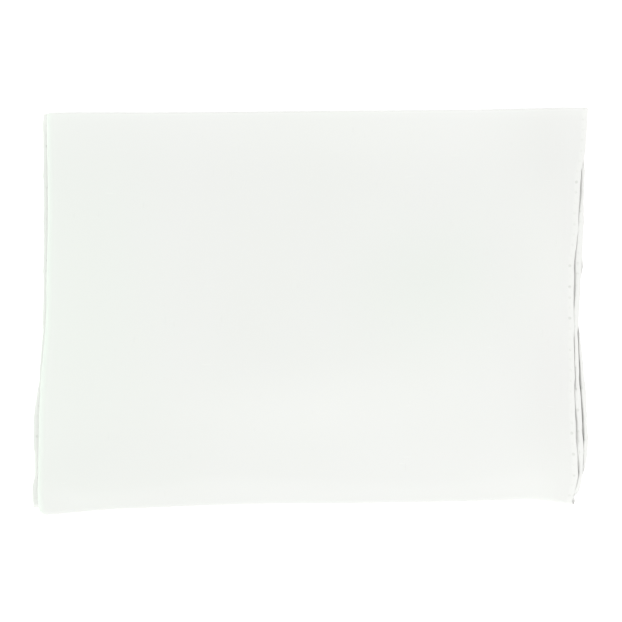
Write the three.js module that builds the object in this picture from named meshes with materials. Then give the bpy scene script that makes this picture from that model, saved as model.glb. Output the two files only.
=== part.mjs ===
// A folded wild rag: one square of plain silk with a narrow hem on its four edges.
// It is folded in quarters into a long strip of four plies, and the strip is folded back and forth in
// thirds, so twelve plies lie on each other. X runs along the fold's long side, Y across it, Z up, in
// millimetres. The origin is under the middle of the stack, on the surface that it lies on.

import * as THREE from 'three';

// The cloth
const SIDE = 914; // cut side of the square
const SHEET = 1.0; // thickness of one ply
const AIR = 0.3; // air between two plies
const PITCH = SHEET + AIR;
const PLIES = 4; // plies of the strip

// Where the free edges of the first and last quarter stop, short of the strip's far side
const FIRST_SHORT = 1.5;
const LAST_SHORT = 4.0;

// The strip's own measures
const STRIP_HALF = ((PLIES - 1) * PITCH + SHEET) / 2; // half of its thickness
const SMALL_BEND = PITCH / 2; // a ply that folds onto its neighbour
const WIDE_BEND = 1.5 * PITCH; // a ply that folds round the pair between
const STRIP_BEND = (PLIES * PITCH) / 2; // the whole strip folding onto itself
const NEAR_CENTRE = SHEET / 2 + WIDE_BEND; // centre of the bends on the near side
const FAR_CENTRE = SHEET / 2 + SMALL_BEND; // centre of the bend on the far side
const BENDS_LENGTH = Math.PI * (2 * SMALL_BEND + WIDE_BEND);
const STRIP = (SIDE + FIRST_SHORT + LAST_SHORT + 4 * NEAR_CENTRE + 2 * FAR_CENTRE - BENDS_LENGTH) / 4;

// Heights of the middle of the three strips
const PANEL_Z = [10 * PITCH - AIR / 2, 6 * PITCH - AIR / 2, 2 * PITCH - AIR / 2];
const OUTER_BEND = STRIP_BEND + STRIP_HALF; // outside radius of the strip's folds

// The stack swells a little between its folds and edges: softly from the near side, and nearly up to the far
const SWELL = 0.075; // share of the height
const SWELL_ACROSS = [
  { y: NEAR_CENTRE, share: 0 },
  { y: 8, share: 0.5 },
  { y: 20, share: 1 },
  { y: 224, share: 1 },
  { y: STRIP - FAR_CENTRE, share: 0.75 },
];
const SWELL_WEST = -136; // full from here
const SWELL_EAST = 128; // to here

// The hemmed end of the top strip reaches past the hidden fold and slopes down there
const SAG_SLOPE = 0.15;

// How far the middle and bottom strips stay behind the top one
const INSETS = [
  { strip: 0, near: 0.0, far: 0.0 },
  { strip: 1, near: 2.2, far: 0.9 },
  { strip: 2, near: 4.2, far: 1.4 },
];

// Long edges of the top strip
const LONG_EDGES = [
  { x: -162, near: -119.6, far: 115.3 },
  { x: -150, near: -119.2, far: 115.3 },
  { x: -136, near: -117.9, far: 115.3 },
  { x: -118, near: -116.3, far: 115.3 },
  { x: -95, near: -115.3, far: 115.3 },
  { x: -60, near: -113.9, far: 115.5 },
  { x: -30, near: -113.0, far: 115.8 },
  { x: 20, near: -112.7, far: 116.3 },
  { x: 50, near: -112.2, far: 116.5 },
  { x: 90, near: -111.5, far: 116.9 },
  { x: 112, near: -110.8, far: 117.2 },
  { x: 132, near: -110.6, far: 117.7 },
  { x: 143, near: -111.6, far: 118.1 },
  { x: 153, near: -112.8, far: 118.3 },
  { x: 162, near: -113.2, far: 118.4 },
];

// Left side: the fold of the top strip, and the hemmed end of the bottom strip that looks out under it
const LEFT_SIDE = [
  { y: -118, fold: -158.2, under: -161.6 },
  { y: -109, fold: -159.0, under: -162.0 },
  { y: -97, fold: -158.7, under: -161.3 },
  { y: -72, fold: -158.3, under: -161.7 },
  { y: -42, fold: -157.0, under: -159.3 },
  { y: -12, fold: -154.5, under: -156.9 },
  { y: 5, fold: -153.4, under: -156.0 },
  { y: 21, fold: -152.9, under: -155.8 },
  { y: 116, fold: -152.8, under: -155.8 },
];

// How far the four hemmed ends of the bottom strip stay behind the furthest one
const UNDER_STAGGER = { top: 0.0, second: 0.6, third: 1.0, lowest: 0.4 };

// Right side: where each ply of the top strip ends in its hem, and the fold below that doesn't show.
// That fold stands where it leaves the cloth within 1% of its cut length.
const RIGHT_SIDE = [
  { y: -112, top: 152.3, second: 154.1, third: 153.4, lowest: 152.0, fold: 146.5 },
  { y: -101, top: 155.2, second: 157.6, third: 156.8, lowest: 153.4, fold: 146.8 },
  { y: -89, top: 155.5, second: 158.8, third: 160.6, lowest: 153.6, fold: 147.2 },
  { y: -65, top: 154.2, second: 158.2, third: 161.2, lowest: 153.2, fold: 148.2 },
  { y: -35, top: 153.7, second: 156.4, third: 159.2, lowest: 152.8, fold: 149.4 },
  { y: -6, top: 153.3, second: 155.9, third: 156.1, lowest: 152.6, fold: 150.2 },
  { y: 12, top: 153.3, second: 157.2, third: 156.4, lowest: 152.6, fold: 150.4 },
  { y: 26, top: 153.4, second: 157.8, third: 158.6, lowest: 152.6, fold: 150.6 },
  { y: 40, top: 155.1, second: 158.7, third: 156.6, lowest: 153.2, fold: 150.8 },
  { y: 60, top: 156.5, second: 159.2, third: 156.2, lowest: 153.9, fold: 150.9 },
  { y: 80, top: 157.6, second: 159.6, third: 156.6, lowest: 154.9, fold: 151.1 },
  { y: 88, top: 159.4, second: 159.4, third: 156.9, lowest: 155.5, fold: 151.2 },
  { y: 104, top: 160.8, second: 160.2, third: 157.3, lowest: 156.0, fold: 151.3 },
  { y: 118, top: 161.9, second: 161.0, third: 157.8, lowest: 156.5, fold: 151.4 },
];

// The hem on the two ends that show: distance in from the edge, thickness, and how far the plies spread
const HEM = [
  { in: 0.0, thick: 0.9, spread: 1.2 },
  { in: 0.5, thick: 1.25, spread: 1.2 },
  { in: 2.9, thick: 1.25, spread: 1.2 },
  { in: 3.6, thick: SHEET, spread: 1.15 },
];

// The hem pressed flat between the plies: distance in from the edge, and thickness
const FLAT_HEM = [
  { in: 0.0, thick: 0.8 },
  { in: 0.5, thick: SHEET },
];

// Where the faces are divided
const BEND_STEPS = 4;
const STRIP_BEND_STEPS = 5;
const ALONG = [SWELL_EAST, 50, -30, -60, -95, SWELL_WEST];
const ACROSS = [8, 20, 45, 75, 105, 137, 165, 200, 224];

const clamp = THREE.MathUtils.clamp;
const lerp = THREE.MathUtils.lerp;

// Reads a table between its rows
function read(table, key, column, at) {
  let i = 1;
  while (i < table.length - 1 && at > table[i][key]) i += 1;
  const low = table[i - 1];
  const high = table[i];
  const share = clamp((at - low[key]) / (high[key] - low[key]), 0, 1);
  return lerp(low[column], high[column], share);
}

// Y of a point of the strip that lies y in from its near side, at x, for strip 0 (top) to 2 (bottom)
function across(x, y, strip) {
  const near = read(LONG_EDGES, 'x', 'near', x) + read(INSETS, 'strip', 'near', strip);
  const far = read(LONG_EDGES, 'x', 'far', x) - read(INSETS, 'strip', 'far', strip);
  return lerp(near, far, y / STRIP);
}

// X of the ends and folds at y in from the near side
const EAST = 155;
const WEST = -156;
const rightEnd = (y, ply) => read(RIGHT_SIDE, 'y', ply, across(EAST, y, 0));
const hiddenFold = (y) => rightEnd(y, 'fold');
const leftFold = (y) => read(LEFT_SIDE, 'y', 'fold', across(WEST, y, 0));
const leftEnd = (y, ply) => read(LEFT_SIDE, 'y', 'under', across(WEST, y, 0)) + UNDER_STAGGER[ply];

// How much taller than flat the stack is at a place
function swell(x, y) {
  const west = leftFold(y) + OUTER_BEND;
  const east = hiddenFold(y) - OUTER_BEND;
  const along = clamp(Math.min((x - west) / (SWELL_WEST - west), (east - x) / (east - SWELL_EAST)), 0, 1);
  return 1 + SWELL * along * read(SWELL_ACROSS, 'y', 'share', y);
}

// Stations across the cloth, from the free edge of the first quarter to that of the last. Each has its
// place in the strip's section (y in from the near side, w up from the middle), the direction of its face,
// and the names of the plies that it stands between.
function acrossStations() {
  const stations = [];
  const quarter = (ply, w, ys, heading, thicknesses) => {
    ys.forEach((y, i) => {
      const thick = thicknesses ? thicknesses[i] : SHEET;
      stations.push({ y, w, ny: 0, nw: heading, thick, from: ply, to: ply, share: 0 });
    });
  };
  const bend = (from, to, centreY, centreW, radius, side, turn) => {
    for (let i = 1; i < BEND_STEPS; i += 1) {
      const angle = (Math.PI * i) / BEND_STEPS;
      const outY = side * Math.sin(angle);
      const outW = -turn * Math.cos(angle);
      const face = side * turn;
      stations.push({
        y: centreY + radius * outY,
        w: centreW + radius * outW,
        ny: -face * outY,
        nw: -face * outW,
        thick: SHEET,
        from,
        to,
        share: i / BEND_STEPS,
      });
    }
  };
  const farLimit = STRIP - FAR_CENTRE;
  const shown = [NEAR_CENTRE, ...ACROSS, farLimit];
  const hidden = [NEAR_CENTRE, ...ACROSS];
  const edge = (short) => FLAT_HEM.map((row) => STRIP - short - row.in);
  const edgeThick = FLAT_HEM.map((row) => row.thick);
  const plain = hidden.map(() => SHEET);

  quarter(
    'third',
    -SMALL_BEND,
    [...edge(FIRST_SHORT), ...[...hidden].reverse()],
    -1,
    [...edgeThick, ...plain],
  );
  bend('third', 'second', NEAR_CENTRE, 0, SMALL_BEND, -1, 1);
  quarter('second', SMALL_BEND, shown, 1);
  bend('second', 'top', farLimit, PITCH, SMALL_BEND, 1, 1);
  quarter('top', WIDE_BEND, [...shown].reverse(), -1);
  bend('top', 'lowest', NEAR_CENTRE, 0, WIDE_BEND, -1, -1);
  quarter(
    'lowest',
    -WIDE_BEND,
    [...hidden, ...[...edge(LAST_SHORT)].reverse()],
    1,
    [...plain, ...[...edgeThick].reverse()],
  );
  return stations;
}

// Stations along the cloth, from the hemmed end of the top strip to that of the bottom strip. Each says
// how to find its x, and which strip or fold it is in.
function alongStations() {
  const stations = [];
  const flat = (strip, x, thick = SHEET, spread = 1) => stations.push({ strip, x, thick, spread });
  const bend = (strip, side) => {
    for (let i = 0; i <= STRIP_BEND_STEPS; i += 1) {
      stations.push({
        strip: strip + i / STRIP_BEND_STEPS,
        side,
        angle: (Math.PI * i) / STRIP_BEND_STEPS,
        thick: SHEET,
        spread: 1,
      });
    }
  };
  HEM.forEach((row) => flat(0, (v) => endOf(v, rightEnd) - row.in, row.thick, row.spread));
  flat(0, (v) => hiddenFold(v.y) - OUTER_BEND);
  ALONG.forEach((x) => flat(0, () => x));
  bend(0, -1);
  [...ALONG].reverse().forEach((x) => flat(1, () => x));
  bend(1, 1);
  ALONG.forEach((x) => flat(2, () => x));
  flat(2, (v) => leftFold(v.y) + OUTER_BEND - 1.5);
  [...HEM].reverse().forEach((row) => flat(2, (v) => endOf(v, leftEnd) + row.in, row.thick, row.spread));
  return stations;
}

// The end of a ply, or between two plies where the cloth folds from one to the other
function endOf(v, end) {
  return lerp(end(v.y, v.from), end(v.y, v.to), v.share);
}

// The point of the cloth at two stations, on its one face (side 1) or its other (side -1)
function point(u, v, side) {
  const thick = Math.min(u.thick, v.thick);
  const y = v.y + (side * v.ny * thick) / 2;
  const offset = (side * v.nw * thick) / 2;
  let x;
  let z;
  if (u.side) {
    const atRight = u.side > 0;
    const centreX = atRight ? hiddenFold(v.y) - OUTER_BEND : leftFold(v.y) + OUTER_BEND;
    const upper = atRight ? 1 : 0;
    const centreZ = (PANEL_Z[upper] + PANEL_Z[upper + 1]) / 2;
    const radius = STRIP_BEND - u.side * (v.w + offset);
    x = centreX + u.side * radius * Math.sin(u.angle);
    z = centreZ + radius * Math.cos(u.angle);
  } else {
    x = u.x(v);
    if (u.strip === 2) {
      z = thick / 2 + (v.w + WIDE_BEND) * u.spread + offset;
    } else {
      const up = u.strip === 1 ? -1 : 1;
      z = PANEL_Z[u.strip] + up * (v.w * u.spread + offset);
    }
  }
  z *= swell(x, y);
  if (u.strip === 0 && !u.side) {
    z -= SAG_SLOPE * Math.max(0, x - hiddenFold(v.y) + OUTER_BEND);
  }
  return new THREE.Vector3(x, across(x, y, u.strip), z);
}

// The closed skin over both faces and the four edges
function clothGeometry() {
  const us = alongStations();
  const vs = acrossStations();
  const positions = [];
  const faces = [];
  const number = (i, j, side) => (i * vs.length + j) * 2 + (side > 0 ? 0 : 1);
  us.forEach((u) => {
    vs.forEach((v) => {
      positions.push(...point(u, v, 1).toArray(), ...point(u, v, -1).toArray());
    });
  });
  const quad = (a, b, c, d, turned) => {
    if (turned) faces.push(b, c, d, b, d, a);
    else faces.push(a, b, c, a, c, d);
  };
  const at = (i, j, axis) => positions[number(i, j, 1) * 3 + axis];
  const lastU = us.length - 1;
  const lastV = vs.length - 1;
  for (let i = 0; i < lastU; i += 1) {
    for (let j = 0; j < lastV; j += 1) {
      // plies that lie on each other are divided along the same diagonal
      const turned = (at(i + 1, j, 0) - at(i, j, 0)) * (at(i, j + 1, 1) - at(i, j, 1)) > 0;
      quad(number(i, j, 1), number(i, j + 1, 1), number(i + 1, j + 1, 1), number(i + 1, j, 1), turned);
      quad(number(i, j, -1), number(i + 1, j, -1), number(i + 1, j + 1, -1), number(i, j + 1, -1), turned);
    }
    quad(number(i, 0, 1), number(i + 1, 0, 1), number(i + 1, 0, -1), number(i, 0, -1));
    quad(number(i, lastV, 1), number(i, lastV, -1), number(i + 1, lastV, -1), number(i + 1, lastV, 1));
  }
  for (let j = 0; j < lastV; j += 1) {
    quad(number(0, j, 1), number(0, j, -1), number(0, j + 1, -1), number(0, j + 1, 1));
    quad(number(lastU, j, 1), number(lastU, j + 1, 1), number(lastU, j + 1, -1), number(lastU, j, -1));
  }
  const geometry = new THREE.BufferGeometry();
  geometry.setAttribute('position', new THREE.Float32BufferAttribute(positions, 3));
  geometry.setIndex(faces);
  geometry.computeBoundingBox();
  const middle = geometry.boundingBox.getCenter(new THREE.Vector3());
  geometry.translate(-middle.x, -middle.y, 0);
  geometry.computeVertexNormals();
  return geometry;
}

const silk = new THREE.MeshStandardMaterial({ color: 0xf1f3ee, roughness: 0.6, metalness: 0 });
const wildRag = new THREE.Mesh(clothGeometry(), silk);
wildRag.name = 'wild_rag';

const folded = new THREE.Group();
folded.add(wildRag);

export default folded;
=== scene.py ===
# A folded wild rag: one hemmed square of plain silk, folded in quarters into a strip and then back and
# forth in thirds. The cloth is one thin closed sheet on the folds of its solid, with its hem stitches.
import math

import bpy
import numpy as np
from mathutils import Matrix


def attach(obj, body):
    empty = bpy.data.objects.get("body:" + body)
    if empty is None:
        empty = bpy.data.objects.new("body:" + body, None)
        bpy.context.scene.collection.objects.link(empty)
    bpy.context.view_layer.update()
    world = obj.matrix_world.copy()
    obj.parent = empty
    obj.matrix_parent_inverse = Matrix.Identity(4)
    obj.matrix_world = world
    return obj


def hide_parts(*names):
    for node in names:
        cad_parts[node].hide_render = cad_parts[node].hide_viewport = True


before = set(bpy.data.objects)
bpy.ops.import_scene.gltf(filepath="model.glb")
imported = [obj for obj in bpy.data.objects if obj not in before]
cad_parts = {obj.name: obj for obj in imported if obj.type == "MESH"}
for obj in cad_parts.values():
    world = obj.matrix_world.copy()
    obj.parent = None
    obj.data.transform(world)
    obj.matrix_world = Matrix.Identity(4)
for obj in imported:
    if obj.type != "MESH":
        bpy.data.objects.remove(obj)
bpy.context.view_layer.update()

MM = 0.001
SHIFT = (0.033, 0.458)  # from the tables' place to the middle of the solid's box

# The cloth, in millimetres, with the folds of its solid
SIDE = 914.0
PITCH = 1.3  # from one ply to the next
SOLID_PLY = 1.0
FIRST_SHORT = 1.5  # how far the free edges of the first and last quarter stop short of the strip's width
LAST_SHORT = 4.0
STRIP_HALF = (3 * PITCH + SOLID_PLY) / 2
SMALL_BEND = PITCH / 2
WIDE_BEND = 1.5 * PITCH
STRIP_BEND = 2 * PITCH
NEAR_CENTRE = SOLID_PLY / 2 + WIDE_BEND
FAR_CENTRE = SOLID_PLY / 2 + SMALL_BEND
BENDS_LENGTH = math.pi * (2 * SMALL_BEND + WIDE_BEND)
STRIP = (SIDE + FIRST_SHORT + LAST_SHORT + 4 * NEAR_CENTRE + 2 * FAR_CENTRE - BENDS_LENGTH) / 4
HALF_AIR = (PITCH - SOLID_PLY) / 2
STRIP_Z = (10 * PITCH - HALF_AIR, 6 * PITCH - HALF_AIR, 2 * PITCH - HALF_AIR)
OUTER_BEND = STRIP_BEND + STRIP_HALF

# The thin sheet that shows
PLY = 0.44
HEM_THICK = 0.84
HEM_WIDTH = 3.1
STITCH_LINE = 2.45
STITCH_PITCH = 6.1  # a rolled hem, sewn by hand: one small stitch shows in each pit
STITCH_LENGTH = 1.0
STITCH_WIDE = 0.3
STITCH_HIGH = 0.2
STITCH_PROUD = 0.03
PIT_SIZE = 1.35
EDGE_ROUND = 0.4
HEM_FADE_START = 0.1  # past the stitch line the hem thins down to plain cloth
HEM_FADE = 0.8
PINCH_DEEP = 0.13
PINCH_WIDE = 0.3
LEAST_HALF = 0.04
SETTLE = (SOLID_PLY - PLY) / 2  # the sheet is thinner than its solid, so it lies this much lower

# The stack swells a little between its folds and edges
SWELL = 0.075
BAND_CORNER = 1.8
SWELL_LEFT = 14.0
SWELL_RIGHT = 16.0
FAR_DROP = 0.25
FAR_REACH = 18.0

# Past the hidden fold the top strip sags a little
SAG_SLOPE = 0.15
SAG_REACH = 6.0
SAG_START = 0.2

# How far the middle and bottom strips stay behind the top one
INSETS = [
    {"strip": 0, "near": 0.0, "far": 0.0},
    {"strip": 1, "near": 2.2, "far": 0.5},
    {"strip": 2, "near": 4.2, "far": 0.3},
]

# Long edges of the top strip
LONG_EDGES = [
    {"x": -162, "near": -119.6, "far": 115.3},
    {"x": -150, "near": -119.2, "far": 115.3},
    {"x": -136, "near": -117.9, "far": 115.3},
    {"x": -118, "near": -116.3, "far": 115.3},
    {"x": -95, "near": -115.3, "far": 115.3},
    {"x": -60, "near": -113.9, "far": 115.5},
    {"x": -30, "near": -113.0, "far": 115.8},
    {"x": 20, "near": -112.7, "far": 116.3},
    {"x": 50, "near": -112.2, "far": 116.5},
    {"x": 90, "near": -111.5, "far": 116.9},
    {"x": 112, "near": -110.8, "far": 117.2},
    {"x": 132, "near": -110.6, "far": 117.7},
    {"x": 143, "near": -112.0, "far": 118.1},
    {"x": 153, "near": -113.5, "far": 118.3},
    {"x": 162, "near": -114.0, "far": 118.4},
]

# How wide the band along the near fold is where the top slopes down to it
BAND = [
    {"x": -162, "wide": 13.5},
    {"x": -145, "wide": 12.5},
    {"x": -124, "wide": 9.0},
    {"x": -99, "wide": 10.0},
    {"x": -76, "wide": 13.4},
    {"x": -6, "wide": 12.0},
    {"x": 30, "wide": 11.0},
    {"x": 87, "wide": 10.4},
    {"x": 110, "wide": 12.0},
    {"x": 134, "wide": 16.0},
    {"x": 150, "wide": 17.5},
    {"x": 162, "wide": 18.0},
]
BAND_STEEP = 0.155  # share of the swell that the band drops in each mm

# Left side: the fold of the top strip, and the hemmed end of the bottom strip that looks out under it
LEFT_SIDE = [
    {"y": -118, "fold": -158.2, "under": -161.6},
    {"y": -109, "fold": -159.0, "under": -162.0},
    {"y": -97, "fold": -158.8, "under": -160.6},
    {"y": -72, "fold": -158.3, "under": -161.7},
    {"y": -42, "fold": -157.3, "under": -158.1},
    {"y": -12, "fold": -154.6, "under": -156.1},
    {"y": 5, "fold": -154.0, "under": -155.7},
    {"y": 21, "fold": -153.8, "under": -155.6},
    {"y": 47, "fold": -153.2, "under": -155.5},
    {"y": 78, "fold": -153.2, "under": -155.6},
    {"y": 104, "fold": -153.7, "under": -155.8},
    {"y": 116, "fold": -153.7, "under": -155.8},
]
UNDER_STAGGER = {"top": 0.0, "second": 0.6, "third": 1.0, "lowest": 0.4}

# Right side: where each ply of the top strip ends in its hem, and the fold below that doesn't show
RIGHT_SIDE = [
    {"y": -113, "top": 152.0, "second": 151.6, "third": 151.6, "lowest": 154.4, "fold": 146.4},
    {"y": -110, "top": 152.5, "second": 152.2, "third": 152.2, "lowest": 154.6, "fold": 146.5},
    {"y": -107, "top": 153.4, "second": 155.0, "third": 154.4, "lowest": 153.8, "fold": 146.6},
    {"y": -101, "top": 155.2, "second": 157.6, "third": 156.8, "lowest": 153.4, "fold": 146.8},
    {"y": -89, "top": 155.5, "second": 158.8, "third": 160.6, "lowest": 153.6, "fold": 147.2},
    {"y": -65, "top": 154.2, "second": 158.2, "third": 161.2, "lowest": 153.2, "fold": 148.2},
    {"y": -35, "top": 153.7, "second": 156.4, "third": 159.2, "lowest": 152.8, "fold": 149.4},
    {"y": -6, "top": 153.3, "second": 155.9, "third": 156.1, "lowest": 152.6, "fold": 150.2},
    {"y": 12, "top": 153.3, "second": 157.2, "third": 156.4, "lowest": 152.6, "fold": 150.4},
    {"y": 26, "top": 153.4, "second": 157.8, "third": 158.6, "lowest": 152.6, "fold": 150.6},
    {"y": 40, "top": 155.1, "second": 158.7, "third": 156.6, "lowest": 153.2, "fold": 150.8},
    {"y": 60, "top": 156.5, "second": 159.2, "third": 156.2, "lowest": 153.9, "fold": 150.9},
    {"y": 80, "top": 157.6, "second": 159.6, "third": 156.6, "lowest": 154.9, "fold": 151.1},
    {"y": 88, "top": 159.4, "second": 159.4, "third": 156.9, "lowest": 155.5, "fold": 151.2},
    {"y": 104, "top": 160.8, "second": 160.2, "third": 157.3, "lowest": 156.0, "fold": 151.3},
    {"y": 118, "top": 161.9, "second": 161.0, "third": 157.8, "lowest": 156.5, "fold": 151.4},
]

# Right side: how open the dark gaps are between the top and second hems and between the second and third
# ones. 0 is closed, 1 is open, and a little more is open wider
GAPS = [
    {"y": -113, "first": 0.0, "second": 0.0},
    {"y": -101, "first": 0.0, "second": 0.0},
    {"y": -98, "first": 0.2, "second": 0.0},
    {"y": -93, "first": 1.4, "second": 0.0},
    {"y": -86, "first": 0.5, "second": 0.0},
    {"y": -80, "first": 0.1, "second": 0.0},
    {"y": -73, "first": 1.4, "second": 0.9},
    {"y": -60, "first": 0.8, "second": 0.9},
    {"y": -52, "first": 0.0, "second": 0.6},
    {"y": -45, "first": 0.5, "second": 0.6},
    {"y": -38, "first": 0.6, "second": 0.8},
    {"y": -31, "first": 0.2, "second": 0.7},
    {"y": -24, "first": 0.3, "second": 0.3},
    {"y": -16, "first": 0.2, "second": 0.3},
    {"y": -8, "first": 0.0, "second": 0.0},
    {"y": 0, "first": 0.1, "second": 0.0},
    {"y": 10, "first": 0.8, "second": 0.0},
    {"y": 18, "first": 1.3, "second": 0.0},
    {"y": 28, "first": 0.6, "second": 0.0},
    {"y": 40, "first": 0.2, "second": 0.0},
    {"y": 60, "first": 0.3, "second": 0.0},
    {"y": 73, "first": 1.3, "second": 0.0},
    {"y": 81, "first": 0.3, "second": 0.0},
    {"y": 87, "first": 0.0, "second": 0.0},
    {"y": 118, "first": 0.0, "second": 0.0},
]
RIM_STEP = 0.45  # beside an open gap each rim stands this much below the one before it
CLOSED_STEP = 0.12  # share of that step that stays beside a closed gap
GAP_WIDTH = 1.1
CLOSED_WIDTH = 0.4
GAP_START = -0.2  # where a closed gap starts, past the hem above it
GAP_SHIFT = 0.55  # how much further out an open one starts
GAP_DIP = 0.5
DIP_PLACE = 0.2
DIP_WIDTH = 0.7
OPEN_LIFT = 0.3  # how far the top hem lifts over an open gap, and drops over a closed one
CLOSED_DROP = -0.1
LIFT_REACH = 8.0

# Small waves of the hems' edges
HEM_WAVES = [
    {"length": 27.0, "high": 0.16},
    {"length": 14.5, "high": 0.12},
    {"length": 9.6, "high": 0.08},
]
PLY_PHASE = 1.7
WAVE_PHASE = 2.3

# Soft troughs (rise below zero) and ridges of the top. They fade out towards the strip's long edges
CREASES = [
    {"x": 75, "y": -14, "turn": 4, "length": 170, "width": 70, "rise": 1.3},
    {"x": -30, "y": -42, "turn": -8, "length": 110, "width": 50, "rise": 0.8},
    {"x": 70, "y": 44, "turn": 8, "length": 110, "width": 52, "rise": -0.8},
    {"x": -60, "y": 25, "turn": 30, "length": 130, "width": 60, "rise": -0.6},
    {"x": 122, "y": 25, "turn": 87, "length": 130, "width": 16, "rise": -0.45},
    {"x": 104, "y": 55, "turn": 78, "length": 90, "width": 14, "rise": 0.4},
    {"x": 45, "y": 62, "turn": 155, "length": 80, "width": 22, "rise": 0.3},
    {"x": -118, "y": -84, "turn": 20, "length": 80, "width": 30, "rise": 0.5},
    {"x": -4, "y": 4, "turn": 92, "length": 60, "width": 7, "rise": 0.05},
    {"x": 33, "y": -70, "turn": 8, "length": 70, "width": 12, "rise": -0.14},
    {"x": -72, "y": -68, "turn": 24, "length": 60, "width": 12, "rise": -0.14},
    {"x": -110, "y": 78, "turn": 140, "length": 60, "width": 20, "rise": 0.08},
]
CREASE_MARGIN = 2.0
CREASE_FADE = 14.0

# Soft spots of painted light (above 0) and painted shade (below 0), for the light and shade on the top's
# gentle rises, with a painted highlight along the far fold in the first two rows; and soft spots where the
# silk looks greener
PAINTED_LIGHT_AND_GREEN_SPOTS = [
    {"x": 0, "y": 118, "turn": 0, "length": 900, "width": 46, "slubs_and_painted_light": 3.6, "green": 0.0},
    {"x": 0, "y": 116.5, "turn": 0.5, "length": 900, "width": 8, "slubs_and_painted_light": 3.8, "green": 0.0},
    {"x": 35, "y": 100, "turn": 0, "length": 130, "width": 40, "slubs_and_painted_light": 1.3, "green": 0.0},
    {"x": 134, "y": 100, "turn": 90, "length": 60, "width": 34, "slubs_and_painted_light": -2.4, "green": 0.0},
    {"x": 72, "y": 26, "turn": 25, "length": 90, "width": 66, "slubs_and_painted_light": -1.8, "green": 0.0},
    {"x": 136, "y": -42, "turn": 90, "length": 70, "width": 40, "slubs_and_painted_light": -1.8, "green": 0.0},
    {"x": 15, "y": -54, "turn": 5, "length": 170, "width": 40, "slubs_and_painted_light": 2.4, "green": 0.0},
    {"x": 142, "y": 20, "turn": 90, "length": 80, "width": 24, "slubs_and_painted_light": 1.6, "green": 0.0},
    {"x": -130, "y": -88, "turn": 10, "length": 90, "width": 30, "slubs_and_painted_light": -1.2, "green": 0.0},
    {"x": 60, "y": -86, "turn": 0, "length": 230, "width": 46, "slubs_and_painted_light": 1.3, "green": 0.0},
    {"x": 142, "y": -106, "turn": 0, "length": 80, "width": 40, "slubs_and_painted_light": 2.4, "green": 0.0},
    {"x": 70, "y": 15, "turn": 0, "length": 90, "width": 80, "slubs_and_painted_light": 0.0, "green": 0.8},
    {"x": -130, "y": 5, "turn": 90, "length": 200, "width": 80, "slubs_and_painted_light": 0.0, "green": 0.8},
]
SLUB_TONE = 2.4  # in steps of tone: slubs of the weft are this much lighter, and those of the warp darker
SLUB_AND_PAINTED_LIGHT_STEP = 0.0092  # share of the silk's own lightness in one step of slub tone and painted light

PLIES = ("third", "second", "top", "lowest")


def read(table, key, column, at):
    """Reads a table smoothly between its rows."""
    xs = np.array([row[key] for row in table], float)
    ys = np.array([row[column] for row in table], float)
    slopes = np.gradient(ys, xs)
    at = np.clip(at, xs[0], xs[-1])
    i = np.clip(np.searchsorted(xs, at, side="right") - 1, 0, len(xs) - 2)
    span = xs[i + 1] - xs[i]
    t = (at - xs[i]) / span
    low = (1 + 2 * t) * (1 - t) ** 2 * ys[i] + t * (1 - t) ** 2 * span * slopes[i]
    high = t**2 * (3 - 2 * t) * ys[i + 1] - t**2 * (1 - t) * span * slopes[i + 1]
    return low + high


def straight(table, key, column, at):
    """Reads a table in straight lines between its rows."""
    return np.interp(at, [row[key] for row in table], [row[column] for row in table])


def smooth(t):
    t = np.clip(t, 0.0, 1.0)
    return t * t * (3 - 2 * t)


def across(x, y, strip):
    """Y of a point that lies y in from the strip's near side, at x."""
    near = read(LONG_EDGES, "x", "near", x) + straight(INSETS, "strip", "near", strip)
    far = read(LONG_EDGES, "x", "far", x) - straight(INSETS, "strip", "far", strip)
    return near + (far - near) * y / STRIP


EDGE_STEPS = np.array([0.0, 0.05, 0.16, 0.36, 0.7, 1.2, 1.8, 2.3, 2.6, 3.0, 3.6])
NEAR_ZONE = 20.0
FAR_ZONE = 10.0
LEAST_STEP = 1.5


def across_stations():
    """Stations across the cloth, from the free edge of its first quarter to that of its last.

    At each, y is how far in from the strip's near side it lies, and w how far above the strip's middle. It
    lies between two plies, or in one, with its share of the way from one to the other.
    """
    inner = STRIP - NEAR_CENTRE - FAR_CENTRE
    near_part = np.linspace(0.0, NEAR_ZONE, 8)[:-1]
    middle = np.linspace(NEAR_ZONE, inner - FAR_ZONE, 47)
    far_part = np.linspace(inner - FAR_ZONE, inner, 6)[1:]
    plain = NEAR_CENTRE + np.concatenate([near_part, middle, far_part])
    rows = []

    def quarter(ply, w, ys):
        rows.extend((y, w, PLIES.index(ply), PLIES.index(ply), 0.0) for y in ys)

    def bend(a, b, centre_y, centre_w, radius, side, turn, steps):
        for k in range(1, steps):
            angle = math.pi * k / steps
            y = centre_y + side * radius * math.sin(angle)
            w = centre_w - turn * radius * math.cos(angle)
            rows.append((y, w, PLIES.index(a), PLIES.index(b), k / steps))

    def free(short):
        ends = STRIP - short - EDGE_STEPS
        return np.concatenate([ends, plain[plain < ends[-1] - LEAST_STEP][::-1]])

    quarter("third", -SMALL_BEND, free(FIRST_SHORT))
    bend("third", "second", NEAR_CENTRE, 0.0, SMALL_BEND, -1, 1, 8)
    quarter("second", SMALL_BEND, plain)
    bend("second", "top", STRIP - FAR_CENTRE, PITCH, SMALL_BEND, 1, 1, 8)
    quarter("top", WIDE_BEND, plain[::-1])
    bend("top", "lowest", NEAR_CENTRE, 0.0, WIDE_BEND, -1, -1, 12)
    quarter("lowest", -WIDE_BEND, free(LAST_SHORT)[::-1])
    y, w, first, last, share = (np.array(column) for column in zip(*rows))
    return {"y": y, "w": w, "from": first.astype(int), "to": last.astype(int), "share": share}


V = across_stations()

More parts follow.
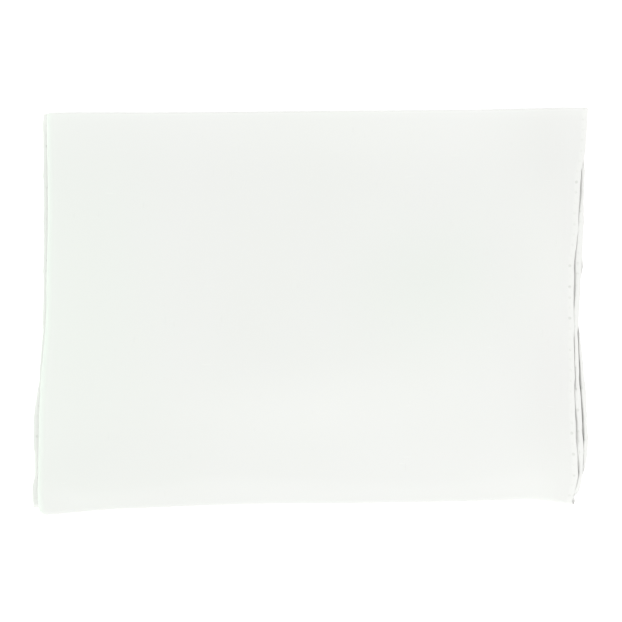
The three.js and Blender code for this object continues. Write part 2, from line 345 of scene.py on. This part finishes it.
# About where the hemmed ends lie, for reading the tables of the two sides
EAST = 155.0
WEST = -156.0
Y_EAST = across(EAST, V["y"], 0)
Y_WEST = across(WEST, V["y"], 0)


def by_ply(values):
    """One value a station, from the values of the four plies, blended through the folds between them."""
    stack = np.array([values[name] for name in PLIES])
    columns = np.arange(stack.shape[1])
    first = stack[V["from"], columns]
    last = stack[V["to"], columns]
    return first + (last - first) * V["share"]


def waves(y, seed):
    """The hem's small waves along its edge, in mm."""
    total = np.zeros_like(y)
    for number, wave in enumerate(HEM_WAVES):
        phase = PLY_PHASE * seed + WAVE_PHASE * number
        total += wave["high"] * np.sin(2 * math.pi * y / wave["length"] + phase)
    return total


FAR_AWAY = 1e3
LEFT_SEED = 5


def right_end(name):
    return read(RIGHT_SIDE, "y", name, Y_EAST) + waves(Y_EAST, PLIES.index(name))


def left_end(name):
    under = read(LEFT_SIDE, "y", "under", Y_WEST) + UNDER_STAGGER[name]
    return under + waves(Y_WEST, LEFT_SEED + PLIES.index(name))


# Where each ply ends in its hem, how open the gap above it is there, and how far its rim rises
RIGHT_END = by_ply({name: right_end(name) for name in PLIES})
LEFT_END = by_ply({name: left_end(name) for name in PLIES})
ABOVE_END = by_ply(
    {
        "top": read(RIGHT_SIDE, "y", "top", Y_EAST) + 4 * GAP_WIDTH,
        "second": read(RIGHT_SIDE, "y", "top", Y_EAST),
        "third": read(RIGHT_SIDE, "y", "second", Y_EAST),
        "lowest": read(RIGHT_SIDE, "y", "third", Y_EAST),
    }
)
FIRST_GAP = read(GAPS, "y", "first", Y_EAST)
SECOND_GAP = read(GAPS, "y", "second", Y_EAST)
NONE = np.zeros_like(Y_EAST)
OPEN = by_ply({"top": NONE, "second": FIRST_GAP, "third": SECOND_GAP, "lowest": NONE})
FIRST_RISE = PITCH - RIM_STEP * (CLOSED_STEP + (1 - CLOSED_STEP) * FIRST_GAP)
SECOND_RISE = PITCH - RIM_STEP * (CLOSED_STEP + (1 - CLOSED_STEP) * SECOND_GAP)
RIM_RISE = by_ply({"top": NONE, "second": FIRST_RISE, "third": FIRST_RISE + SECOND_RISE, "lowest": NONE})
TOP_LIFT = CLOSED_DROP + (OPEN_LIFT - CLOSED_DROP) * smooth(FIRST_GAP)
END_LIFT = by_ply({"top": TOP_LIFT, "second": NONE, "third": NONE, "lowest": NONE})
LEFT_FOLD = read(LEFT_SIDE, "y", "fold", Y_WEST)
HIDDEN_FOLD = read(RIGHT_SIDE, "y", "fold", Y_EAST)
LEFT_BEND = LEFT_FOLD + OUTER_BEND
RIGHT_BEND = HIDDEN_FOLD - OUTER_BEND
V_EDGE = np.minimum(
    np.where(V["from"] == PLIES.index("third"), STRIP - FIRST_SHORT - V["y"], FAR_AWAY),
    np.where(V["to"] == PLIES.index("lowest"), STRIP - LAST_SHORT - V["y"], FAR_AWAY),
)
V_EDGE[V["share"] > 0] = FAR_AWAY


def soft_corner(t, end):
    """Rises straight from 0 up to end, with that corner rounded off."""
    return np.where(t < end - 1, t, np.where(t > end + 1, end, end - (t - end - 1) ** 2 / 4))


def swell(x, y):
    """How many times as tall as flat the stack is."""
    wide = read(BAND, "x", "wide", x)
    past = np.maximum(0.0, y - NEAR_CENTRE) / BAND_CORNER
    near = 1 - BAND_STEEP * (wide - BAND_CORNER * soft_corner(past, wide / BAND_CORNER))
    far = 1 - FAR_DROP * (1 - smooth((STRIP - FAR_CENTRE - y) / FAR_REACH))
    left = np.sin(np.pi / 2 * np.clip((x - LEFT_BEND) / SWELL_LEFT, 0, 1))
    right = np.sin(np.pi / 2 * np.clip((RIGHT_BEND - x) / SWELL_RIGHT, 0, 1))
    return 1 + SWELL * near * far * left * right


def spots(table, column, x, y):
    """The sum of a table's soft long spots."""
    total = np.zeros_like(x)
    for spot in table:
        turn = math.radians(spot["turn"])
        past_x = x - spot["x"]
        past_y = y - spot["y"]
        along = (past_x * math.cos(turn) + past_y * math.sin(turn)) / (0.5 * spot["length"])
        aside = (past_y * math.cos(turn) - past_x * math.sin(turn)) / (0.5 * spot["width"])
        total += spot[column] * np.exp(-(along**2) - aside**2)
    return total


def half_thickness(edge):
    """Half of the sheet's thickness at a distance in from its edge: a flat hem, pinched at its stitches."""
    field = PLY / 2
    hem = HEM_THICK / 2
    from_rim = 1 - np.clip(edge / EDGE_ROUND, 0, 1)
    round_off = np.sqrt(1 - from_rim**2)
    body = hem + (field - hem) * smooth((edge - STITCH_LINE - HEM_FADE_START) / HEM_FADE)
    pinch = PINCH_DEEP * np.exp(-(((edge - STITCH_LINE) / PINCH_WIDE) ** 2))
    return np.maximum(LEAST_HALF, body * round_off - pinch)


# The cloth's middle surface, row by row: the top strip, its left fold, the middle strip, the hidden fold
# on the right and the bottom strip
HEM_STEPS = np.array(
    [0.0, 0.05, 0.16, 0.36, 0.7, 1.1, 1.5, 1.9, 2.2, 2.45, 2.7, 3.0, 3.35, 3.8, 4.3, 4.9, 5.6, 6.6, 8.0]
)
UNDER_STEPS = np.array([0.0, 0.05, 0.16, 0.36, 0.7, 1.2, 1.7, 2.15, 2.45, 2.75, 3.1, 3.6])
TOP_ROWS = 44
TOP_SPACING = 1.15
MIDDLE_ROWS = 24
BOTTOM_ROWS = 28
TOP_FOLD_STEPS = 12
HIDDEN_FOLD_STEPS = 10
rows_x, rows_z, rows_strip, rows_edge = [], [], [], []


def add_row(x, z, strip, edge=FAR_AWAY):
    """One row of points across the cloth; edge is how far in from the cloth's end it lies."""
    for rows, value in ((rows_x, x), (rows_z, z), (rows_strip, strip), (rows_edge, edge)):
        rows.append(np.broadcast_to(value, V["y"].shape).astype(float))


def rim(x):
    """Past the hem above it a ply dips into the gap and then rises beside that hem."""
    past = x - ABOVE_END
    start = GAP_START + GAP_SHIFT * OPEN
    width = CLOSED_WIDTH + (GAP_WIDTH - CLOSED_WIDTH) * OPEN
    rise = RIM_RISE * smooth((past - start) / width)
    dip = GAP_DIP * OPEN * np.exp(-(((past - DIP_PLACE) / DIP_WIDTH) ** 2))
    return rise - dip


def top_row(x):
    edge = RIGHT_END - x
    z = STRIP_Z[0] + V["w"] + rim(x) + END_LIFT * np.exp(-((edge / LIFT_REACH) ** 2))
    past = np.maximum(0.0, x - RIGHT_BEND)
    add_row(x, z - SAG_SLOPE * past * smooth(past / SAG_REACH + SAG_START), 0, edge)


def bottom_row(x):
    edge = x - LEFT_END
    z = half_thickness(edge) - PLY / 2 + SOLID_PLY / 2 + V["w"] + WIDE_BEND
    add_row(x, z, 2, edge)


def fold_rows(upper, side, steps):
    """Rows round the fold from a strip down to the next one, on the right (side 1) or left (side -1)."""
    centre_x = RIGHT_BEND if side > 0 else LEFT_BEND
    centre_z = (STRIP_Z[upper] + STRIP_Z[upper + 1]) / 2
    for k in range(steps + 1):
        angle = math.pi * k / steps
        radius = STRIP_BEND - side * V["w"]
        x = centre_x + side * radius * math.sin(angle)
        z = centre_z + radius * math.cos(angle)
        add_row(x, z, upper + k / steps)


def between(first, last, count, spacing=1.0):
    """That many places between two, without the two."""
    shares = np.linspace(0, 1, count + 2)[1:-1] ** spacing
    return [first + (last - first) * share for share in shares]


for step in HEM_STEPS:
    top_row(RIGHT_END - step)
for place in between(RIGHT_END - HEM_STEPS[-1], LEFT_BEND, TOP_ROWS, TOP_SPACING):
    top_row(place)
fold_rows(0, -1, TOP_FOLD_STEPS)
for place in between(LEFT_BEND, RIGHT_BEND, MIDDLE_ROWS):
    add_row(place, STRIP_Z[1] - V["w"], 1)
fold_rows(1, 1, HIDDEN_FOLD_STEPS)
for place in between(RIGHT_BEND, LEFT_END + UNDER_STEPS[-1], BOTTOM_ROWS):
    bottom_row(place)
for step in UNDER_STEPS[::-1]:
    bottom_row(LEFT_END + step)

X = np.array(rows_x)
Z = np.array(rows_z)
STRIP_AT = np.array(rows_strip)
U_EDGE = np.array(rows_edge)
Y = across(X, np.broadcast_to(V["y"], X.shape), STRIP_AT)
TOP_Z = STRIP_Z[0] + WIDE_BEND
NEAR_FADE = smooth((V["y"] - CREASE_MARGIN) / CREASE_FADE)
FAR_FADE = smooth((STRIP - CREASE_MARGIN - V["y"]) / CREASE_FADE)
CREASE_LIFT = spots(CREASES, "rise", X, Y) * NEAR_FADE * FAR_FADE * Z / TOP_Z
Z = Z * swell(X, V["y"]) + CREASE_LIFT - SETTLE
MIDDLE = np.stack([X + SHIFT[0], Y + SHIFT[1], Z], axis=-1)

along_u = np.gradient(MIDDLE, axis=0)
along_v = np.gradient(MIDDLE, axis=1)
NORMAL = np.cross(along_u, along_v)
NORMAL /= np.linalg.norm(NORMAL, axis=-1, keepdims=True)
HALF = np.minimum(half_thickness(U_EDGE), half_thickness(np.broadcast_to(V_EDGE, X.shape)))[..., None]
FACE_A = MIDDLE + NORMAL * HALF
FACE_B = MIDDLE - NORMAL * HALF
FACE_A[..., 2] = np.maximum(FACE_A[..., 2], 0.0)
FACE_B[..., 2] = np.maximum(FACE_B[..., 2], 0.0)

# Where each point lies on the flat cloth, in metres, for the weave
mid_v = X.shape[1] // 2
mid_u = X.shape[0] // 2
step_u = np.linalg.norm(np.diff(MIDDLE[:, mid_v], axis=0), axis=-1)
step_v = np.linalg.norm(np.diff(MIDDLE[mid_u], axis=0), axis=-1)
FLAT_U = np.concatenate([[0], np.cumsum(step_u)]) * MM
FLAT_V = np.concatenate([[0], np.cumsum(step_v)]) * MM


def new_object(name, vertices, faces, material, uvs=None):
    mesh = bpy.data.meshes.new(name)
    mesh.from_pydata(vertices.tolist(), [], faces.tolist())
    if uvs is not None:
        layer = mesh.uv_layers.new(name="flat")
        loops = np.empty(len(mesh.loops), int)
        mesh.loops.foreach_get("vertex_index", loops)
        layer.data.foreach_set("uv", uvs[loops].ravel())
    mesh.shade_smooth()
    mesh.materials.append(material)
    obj = bpy.data.objects.new(name, mesh)
    bpy.context.scene.collection.objects.link(obj)
    return obj


def cloth_faces(nu, nv):
    """Quads of both faces of a grid of points, and of the edge that joins the two all round."""
    number = np.arange(nu * nv).reshape(nu, nv)
    a = number[:-1, :-1].ravel()
    b = number[1:, :-1].ravel()
    c = number[1:, 1:].ravel()
    d = number[:-1, 1:].ravel()
    other = nu * nv
    faces = [np.stack([a, b, c, d], 1), np.stack([a, d, c, b], 1) + other]
    for line in (number[::-1, 0], number[:, -1], number[0], number[-1, ::-1]):
        p = line[:-1]
        q = line[1:]
        faces.append(np.stack([p, q, q + other, p + other], 1))
    return np.concatenate(faces)


# Colours
SILK_COLOUR = (0.665, 0.665, 0.655, 1.0)
SILK_SHADE = (0.65, 0.655, 0.635, 1.0)
GREEN_COLOUR = (0.655, 0.672, 0.645, 1.0)
HEM_COLOUR = (0.684, 0.685, 0.67, 1.0)  # three layers of thin silk hide more of what lies below
# painted shade in the stitch pits
PIT_PAINTED_SHADE = (0.46, 0.47, 0.44, 1.0)
THREAD_COLOUR = (0.70, 0.72, 0.69, 1.0)
THREAD_SHADE = (0.62, 0.64, 0.60, 1.0)

# How many times a metre each kind of noise changes, in each direction of the flat cloth
WARP = (2600.0, 70.0)
WEFT = (60.0, 2300.0)
WARP_SLUBS = (560.0, 90.0)
WEFT_SLUBS = (85.0, 520.0)
PATCHES = (9.0, 7.0)
PIT_DEPTHS = (3.0, 150.0)
THREAD_TWIST = (4000.0, 900.0)

# Between which values of its noise each thing fades in
SLUB_CUT = (0.72, 0.80)
PATCH_CUT = (0.35, 0.7)
PIT_CUT = (0.46, 0.62)

# How strong each thing is
PATCH_SHARE = 0.5
PIT_FAINT = 0.08  # depth of the faintest pit beside the deepest one
# how much painted shade darkens the deepest stitch pit
PIT_SHADE_SHARE = 0.62
PIT_DEEP = 7.0  # heights in the bump, where the weave's is about 1
SLUB_HIGH = 1.4
BUMP_DISTANCE = 0.05 * MM
SILK_BUMP = 0.35
SILK_ROUGH = 0.55
SLUB_ROUGH = 0.48
SILK_SPECULAR = 0.25
SILK_SHEEN = 0.15
SHEEN_ROUGH = 0.4
HEM_LINE_OUT = 1.2  # the hem's lighter colour fades out over these distances past and before its width
HEM_LINE_IN = 0.8
THREAD_BUMP = 0.4
THREAD_ROUGH = 0.5


def node(tree, kind, **values):
    n = tree.nodes.new(kind)
    for key, value in values.items():
        setattr(n, key, value)
    return n


def feed(tree, value, slot):
    """Links a socket to another node's output, or sets it to a number or colour."""
    if isinstance(value, bpy.types.NodeSocket):
        tree.links.new(value, slot)
    else:
        slot.default_value = value


def calc(tree, operation, *values):
    m = node(tree, "ShaderNodeMath", operation=operation)
    for value, slot in zip(values, m.inputs):
        feed(tree, value, slot)
    return m.outputs[0]


def mixed(tree, share, a, b):
    """The colour a with that share of the colour b."""
    mix = node(tree, "ShaderNodeMix", data_type="RGBA")
    feed(tree, share, mix.inputs["Factor"])
    feed(tree, a, mix.inputs["A"])
    feed(tree, b, mix.inputs["B"])
    return mix.outputs["Result"]


def stretched_noise(tree, source, scale, detail=2.0):
    """Noise in the flat cloth's own directions, so many times a metre along each."""
    mapping = node(tree, "ShaderNodeMapping")
    mapping.inputs["Scale"].default_value = (scale[0], scale[1], 1.0)
    tree.links.new(source, mapping.inputs["Vector"])
    noise = node(tree, "ShaderNodeTexNoise")
    noise.inputs["Scale"].default_value = 1.0
    noise.inputs["Detail"].default_value = detail
    tree.links.new(mapping.outputs["Vector"], noise.inputs["Vector"])
    return noise.outputs["Fac"]


def ramp(tree, source, low, high, out_low=0.0, out_high=1.0):
    m = node(tree, "ShaderNodeMapRange")
    m.interpolation_type = "SMOOTHSTEP"
    m.inputs["From Min"].default_value = low
    m.inputs["From Max"].default_value = high
    m.inputs["To Min"].default_value = out_low
    m.inputs["To Max"].default_value = out_high
    tree.links.new(source, m.inputs["Value"])
    return m.outputs["Result"]


def point_value(tree, name):
    """A value that the cloth's points carry."""
    return node(tree, "ShaderNodeAttribute", attribute_name=name).outputs["Fac"]


def add_bump(tree, shader, height, strength):
    bump = node(tree, "ShaderNodeBump")
    bump.inputs["Strength"].default_value = strength
    bump.inputs["Distance"].default_value = BUMP_DISTANCE
    tree.links.new(height, bump.inputs["Height"])
    tree.links.new(bump.outputs["Normal"], shader.inputs["Normal"])


def new_material(name):
    material = bpy.data.materials.new(name)
    material.use_nodes = True
    return material, material.node_tree, material.node_tree.nodes["Principled BSDF"]


def hem_parts(tree, uv):
    """How far in from the nearer hemmed end a point lies, and how deep in a stitch's pit, from 0 to 1."""
    split = node(tree, "ShaderNodeSeparateXYZ")
    tree.links.new(uv, split.inputs[0])
    half_length = 0.5 * FLAT_U[-1]
    half_pitch = 0.5 * STITCH_PITCH * MM
    from_middle = calc(tree, "ABSOLUTE", calc(tree, "SUBTRACT", split.outputs["X"], half_length))
    edge = calc(tree, "SUBTRACT", half_length, from_middle)
    beside = calc(tree, "SUBTRACT", edge, STITCH_LINE * MM)
    wrapped = calc(tree, "WRAP", split.outputs["Y"], half_pitch, -half_pitch)
    along = calc(tree, "SUBTRACT", calc(tree, "ABSOLUTE", wrapped), half_pitch)
    squares = [calc(tree, "MULTIPLY", part, part) for part in (beside, along)]
    far = calc(tree, "SQRT", calc(tree, "ADD", *squares))
    depth = ramp(tree, stretched_noise(tree, uv, PIT_DEPTHS), *PIT_CUT, PIT_FAINT, 1.0)
    return edge, calc(tree, "MULTIPLY", ramp(tree, far, PIT_SIZE * MM, 0.0), depth)


def slub_parts(tree, uv):
    """Where slubs of the warp and of the weft stand."""
    warp_slubs = ramp(tree, stretched_noise(tree, uv, WARP_SLUBS, 1.0), *SLUB_CUT)
    weft_slubs = ramp(tree, stretched_noise(tree, uv, WEFT_SLUBS, 1.0), *SLUB_CUT)
    return warp_slubs, weft_slubs


def silk_colour(tree, uv, edge, pits, slub_tone):
    """Soft patches, greener places, the lighter hem, the slubs' tone with spots of painted light and
    painted shade, and painted shade in the stitch pits on top.
    """
    patches = ramp(tree, stretched_noise(tree, uv, PATCHES, 3.0), *PATCH_CUT, 0.0, PATCH_SHARE)
    hem = ramp(tree, edge, (HEM_WIDTH + HEM_LINE_OUT) * MM, (HEM_WIDTH - HEM_LINE_IN) * MM)
    silk = mixed(tree, patches, SILK_COLOUR, SILK_SHADE)
    greener = mixed(tree, point_value(tree, "green"), silk, GREEN_COLOUR)
    with_hem = mixed(tree, hem, greener, HEM_COLOUR)
    # the slubs' tone plus the spots of painted light and painted shade
    slubs_and_painted_light = calc(tree, "ADD", slub_tone, point_value(tree, "slubs_and_painted_light"))
    gain = calc(tree, "ADD", calc(tree, "MULTIPLY", slubs_and_painted_light, SLUB_AND_PAINTED_LIGHT_STEP), 1.0)
    toned = node(tree, "ShaderNodeVectorMath", operation="SCALE")
    tree.links.new(with_hem, toned.inputs[0])
    tree.links.new(gain, toned.inputs["Scale"])
    # painted shade darkens the silk in the stitch pits
    return mixed(tree, calc(tree, "MULTIPLY", pits, PIT_SHADE_SHARE), toned.outputs[0], PIT_PAINTED_SHADE)


def silk_material():
    material, tree, shader = new_material("silk")
    uv = node(tree, "ShaderNodeUVMap", uv_map="flat").outputs["UV"]
    edge, pits = hem_parts(tree, uv)
    warp_slubs, weft_slubs = slub_parts(tree, uv)
    slubs = calc(tree, "MAXIMUM", warp_slubs, weft_slubs)
    weave = calc(tree, "ADD", stretched_noise(tree, uv, WARP), stretched_noise(tree, uv, WEFT))
    fibres = calc(tree, "ADD", weave, calc(tree, "MULTIPLY", slubs, SLUB_HIGH))
    height = calc(tree, "SUBTRACT", fibres, calc(tree, "MULTIPLY", pits, PIT_DEEP))
    add_bump(tree, shader, height, SILK_BUMP)
    lighter_slubs = calc(tree, "SUBTRACT", weft_slubs, warp_slubs)
    slub_tone = calc(tree, "MULTIPLY", lighter_slubs, SLUB_TONE)
    tree.links.new(silk_colour(tree, uv, edge, pits, slub_tone), shader.inputs["Base Color"])
    tree.links.new(ramp(tree, slubs, 0.0, 1.0, SILK_ROUGH, SLUB_ROUGH), shader.inputs["Roughness"])
    shader.inputs["Specular IOR Level"].default_value = SILK_SPECULAR
    shader.inputs["Sheen Weight"].default_value = SILK_SHEEN
    shader.inputs["Sheen Roughness"].default_value = SHEEN_ROUGH
    return material


def thread_material():
    material, tree, shader = new_material("thread")
    place = node(tree, "ShaderNodeTexCoord").outputs["Object"]
    twist = stretched_noise(tree, place, THREAD_TWIST)
    tree.links.new(mixed(tree, twist, THREAD_COLOUR, THREAD_SHADE), shader.inputs["Base Color"])
    shader.inputs["Roughness"].default_value = THREAD_ROUGH
    add_bump(tree, shader, twist, THREAD_BUMP)
    return material


SILK = silk_material()
THREAD = thread_material()

uv_grid = np.stack(np.meshgrid(FLAT_U, FLAT_V, indexing="ij"), axis=-1).reshape(-1, 2)
cloth = new_object(
    "silk_square",
    np.concatenate([FACE_A.reshape(-1, 3), FACE_B.reshape(-1, 3)]) * MM,
    cloth_faces(*X.shape),
    SILK,
    np.concatenate([uv_grid, uv_grid]),
)
# the spots of painted light and painted shade, and the greener places, go on the cloth's points
for column in ("slubs_and_painted_light", "green"):
    field = spots(PAINTED_LIGHT_AND_GREEN_SPOTS, column, X, Y).ravel()
    layer = cloth.data.attributes.new(column, "FLOAT", "POINT")
    layer.data.foreach_set("value", np.concatenate([field, field]))
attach(cloth, "root")
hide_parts("wild_rag")

# The stitches of the hems at both ends, on both faces
STITCH_RINGS = [
    {"place": -0.5, "size": 0.35},
    {"place": -0.28, "size": 1.0},
    {"place": 0.28, "size": 1.0},
    {"place": 0.5, "size": 0.35},
]
STITCH_SIDES = 6
STITCH_REACH = 0.4  # how far to each side the hem's direction is measured


def stitch_row(line, outward):
    """Stitches along a line of points, lying on a face that looks outward there."""
    steps = np.linalg.norm(np.diff(line, axis=0), axis=-1)
    run = np.concatenate([[0], np.cumsum(steps)])
    pits = np.arange(STITCH_PITCH / 2, FLAT_V[-1] / MM, STITCH_PITCH)
    places = np.interp(pits, FLAT_V / MM, run)

    def at(distances, values):
        return np.stack([np.interp(distances, run, values[:, k]) for k in range(3)], axis=-1)

    centre = at(places, line)
    along = at(places + STITCH_REACH, line) - at(places - STITCH_REACH, line)
    along /= np.linalg.norm(along, axis=-1, keepdims=True)
    up = at(places, outward)
    up -= along * np.sum(up * along, axis=-1, keepdims=True)
    up /= np.linalg.norm(up, axis=-1, keepdims=True)
    aside = np.cross(along, up)
    rings = []
    for ring in STITCH_RINGS:
        for k in range(STITCH_SIDES):
            angle = 2 * math.pi * k / STITCH_SIDES
            across_thread = 0.5 * STITCH_WIDE * ring["size"] * math.cos(angle)
            above_cloth = 0.5 * STITCH_HIGH * ring["size"] * math.sin(angle) + STITCH_PROUD
            on_line = centre + along * STITCH_LENGTH * ring["place"]
            rings.append(on_line + aside * across_thread + up * above_cloth)
    points = np.stack(rings, axis=1).reshape(-1, 3)
    points[:, 2] = np.maximum(points[:, 2], 0.0)
    return points, len(places)


def stitch_faces(count):
    """Faces of that many threads, each a short tube of quads with a cap at both ends."""
    n = STITCH_SIDES
    one = []
    for r in range(len(STITCH_RINGS) - 1):
        for k in range(n):
            m = (k + 1) % n
            one.append((r * n + k, (r + 1) * n + k, (r + 1) * n + m, r * n + m))
    size = n * len(STITCH_RINGS)
    quads = np.array(one)
    first_cap = np.arange(n)
    last_cap = np.arange(n)[::-1] + size - n
    faces = []
    for s in range(count):
        faces.extend((quads + s * size).tolist())
        faces.append((first_cap + s * size).tolist())
        faces.append((last_cap + s * size).tolist())
    return faces


def build_stitches():
    right = int(np.argmin(np.abs(HEM_STEPS - STITCH_LINE)))
    left = X.shape[0] - 1 - int(np.argmin(np.abs(UNDER_STEPS - STITCH_LINE)))
    points = []
    total = 0
    for row in (right, left):
        for face, outward in ((FACE_A, NORMAL), (FACE_B, -NORMAL)):
            vertices, count = stitch_row(face[row], outward[row])
            points.append(vertices)
            total += count
    mesh = bpy.data.meshes.new("hem_stitches")
    mesh.from_pydata((np.concatenate(points) * MM).tolist(), [], stitch_faces(total))
    mesh.shade_smooth()
    mesh.materials.append(THREAD)
    obj = bpy.data.objects.new("hem_stitches", mesh)
    bpy.context.scene.collection.objects.link(obj)
    return obj


stitches = build_stitches()
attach(stitches, "root")


# Floor, which is a pale panel lit softly from below, so it stays white beside the cloth
FLOOR_COLOUR = (0.92, 0.92, 0.92, 1.0)
FLOOR_GLOW = 0.33
FLOOR_ROUGH = 0.9
FLOOR_SPECULAR = 0.1
HALF_FLOOR = 3.0
FLOOR_CORNERS = np.array([[-1, -1, 0], [1, -1, 0], [1, 1, 0], [-1, 1, 0]])


def floor_material():
    material, _, shader = new_material("pale_floor")
    shader.inputs["Base Color"].default_value = FLOOR_COLOUR
    shader.inputs["Emission Color"].default_value = (1.0, 1.0, 1.0, 1.0)
    shader.inputs["Emission Strength"].default_value = FLOOR_GLOW
    shader.inputs["Roughness"].default_value = FLOOR_ROUGH
    shader.inputs["Specular IOR Level"].default_value = FLOOR_SPECULAR
    return material


floor = new_object("floor", FLOOR_CORNERS * HALF_FLOOR, np.array([[0, 1, 2, 3]]), floor_material())

# Even studio light from all round: a pale tent that is brighter towards the far side
TENT_LOW = 0.73
TENT_TOP = 0.695
TENT_TOP_AT = 0.9  # how steeply upward, from 0 to 1, the tent reaches its top's strength
TENT_NEAR = 0.9
TENT_FAR = 1.3
TENT_LEFT_COLOUR = (0.97, 1.0, 0.97, 1.0)
TENT_RIGHT_COLOUR = (1.0, 1.0, 1.0, 1.0)
TENT_SIDES_AT = 0.8


def studio_world():
    world = bpy.data.worlds.new("studio")
    world.use_nodes = True
    tree = world.node_tree
    background = tree.nodes["Background"]
    parts = node(tree, "ShaderNodeSeparateXYZ")
    tree.links.new(node(tree, "ShaderNodeTexCoord").outputs["Generated"], parts.inputs["Vector"])
    height = ramp(tree, parts.outputs["Z"], 0.0, TENT_TOP_AT, TENT_LOW, TENT_TOP)
    near = ramp(tree, parts.outputs["Y"], 0.0, -1.0, 1.0, TENT_NEAR)
    far = ramp(tree, parts.outputs["Y"], 0.0, 1.0, 1.0, TENT_FAR)
    ends = calc(tree, "MULTIPLY", near, far)
    tree.links.new(calc(tree, "MULTIPLY", height, ends), background.inputs["Strength"])
    side = ramp(tree, parts.outputs["X"], -TENT_SIDES_AT, TENT_SIDES_AT)
    tree.links.new(mixed(tree, side, TENT_LEFT_COLOUR, TENT_RIGHT_COLOUR), background.inputs["Color"])
    return world


bpy.context.scene.world = studio_world()

# Soft round lights that all face the middle of the cloth, in metres and watts
WHITE = (1.0, 1.0, 1.0)
PALE_GREEN = (0.7, 1.0, 0.78)
LIGHTS = [
    {"name": "key_light", "place": (-0.45, -2.5, 3.6), "size": 2.0, "power": 109.0, "colour": WHITE},
    {"name": "far_light", "place": (0.25, 1.1, 0.2), "size": 0.4, "power": 2.6, "colour": WHITE},
    {"name": "right_light", "place": (0.65, -0.1, 0.55), "size": 0.4, "power": 0.95, "colour": WHITE},
    {"name": "upper_left_light", "place": (-0.6, -0.05, 0.6), "size": 0.4, "power": 0.22, "colour": WHITE},
    {"name": "left_light", "place": (-1.1, -0.05, 0.22), "size": 0.4, "power": 2.2, "colour": PALE_GREEN},
]


def soft_light(name, place, size, power, colour):
    data = bpy.data.lights.new(name, "AREA")
    data.shape = "DISK"
    data.size = size
    data.energy = power
    data.color = colour
    obj = bpy.data.objects.new(name, data)
    bpy.context.scene.collection.objects.link(obj)
    obj.location = place
    length = math.sqrt(sum(c * c for c in place))
    obj.rotation_euler = (math.acos(place[2] / length), 0.0, math.atan2(place[0], -place[1]))
    obj.visible_camera = False


for light in LIGHTS:
    soft_light(**light)

# The camera looks straight down. The photograph's scale holds at the top of the cloth
FRAME_MM_PER_PX = 0.581
IMAGE_PX = 622
CENTRE_PX = (310.14, 311.29)
LENS = 240.0
SENSOR = 36.0
CLOTH_TOP = 0.0155
WIDTH = FRAME_MM_PER_PX * IMAGE_PX * MM
camera_data = bpy.data.cameras.new("camera")
camera_data.lens = LENS
camera_data.sensor_width = SENSOR
camera = bpy.data.objects.new("camera", camera_data)
bpy.context.scene.collection.objects.link(camera)
offset_x = (IMAGE_PX / 2 - CENTRE_PX[0]) * FRAME_MM_PER_PX * MM
offset_y = (CENTRE_PX[1] - IMAGE_PX / 2) * FRAME_MM_PER_PX * MM
camera.location = (offset_x, offset_y, WIDTH * LENS / SENSOR + CLOTH_TOP)
bpy.context.scene.camera = camera
bpy.context.scene.view_settings.view_transform = "Standard"
